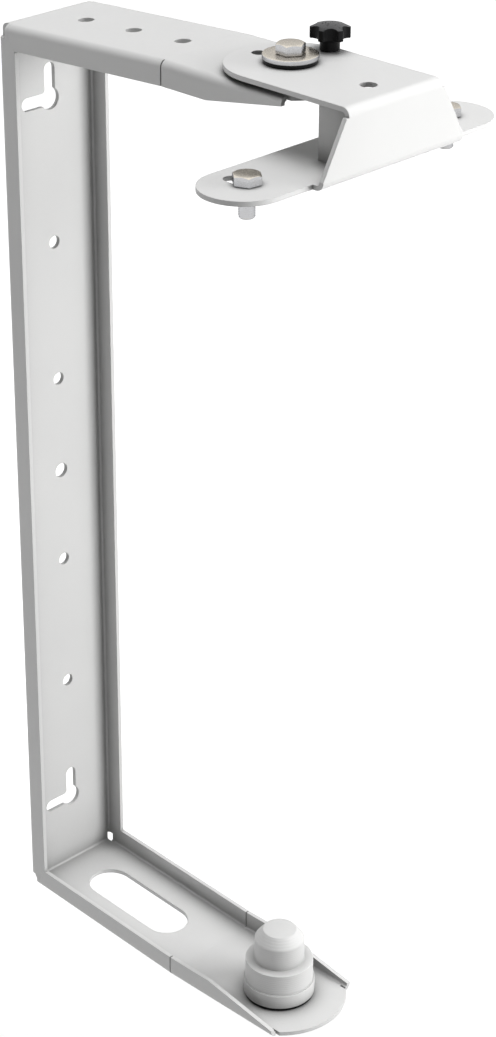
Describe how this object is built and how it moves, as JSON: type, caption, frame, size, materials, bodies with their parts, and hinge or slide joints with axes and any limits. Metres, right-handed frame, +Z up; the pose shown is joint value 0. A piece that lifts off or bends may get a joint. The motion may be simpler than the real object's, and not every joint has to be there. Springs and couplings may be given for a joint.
{
  "type": "speaker wall bracket",
  "caption": "Folded steel wall bracket for a loudspeaker: a U frame with a spigot below and a bolted swivelling head above, locked by a star knob.",
  "frame": {"origin": "middle of the wall plate's back face, on the axis of its centre hole", "axes": "+X out from the wall, +Y along the wall to the knob's side, +Z up"},
  "size_m": [0.303, 0.232, 0.7051],
  "materials": {
    "powder_coat": "matte",
    "zinc": "satin",
    "black_plastic": "matte"
  },
  "bodies": {
    "frame": {"wall_frame": "powder_coat", "pivot_bolt": "zinc", "pivot_washer": "zinc", "upper_slip_washer": "black_plastic", "lower_slip_disc": "black_plastic", "pivot_under_washer": "zinc", "pivot_lock_nut": "zinc", "spigot": "powder_coat", "spigot_pad": "black_plastic", "spigot_washer": "zinc", "spigot_screw": "zinc"},
    "head": {"swivel_head": "powder_coat", "head_rib_left": "powder_coat", "head_rib_right": "powder_coat", "speaker_bolts": "zinc"},
    "knob": {"knob_grip": "black_plastic", "knob_screw": "zinc"}
  },
  "joints": [
    {"name": "head_swivel", "type": "hinge", "parent": "frame", "child": "head", "pos_m": [0.219, 0, 0.3405], "axis": [0, 0, 1], "range_deg": [-90, 90]},
    {"name": "knob_turn", "type": "hinge", "parent": "head", "child": "knob", "pos_m": [0.219, 0.034, 0.345], "axis": [0, 0, 1], "continuous": true}
  ]
}
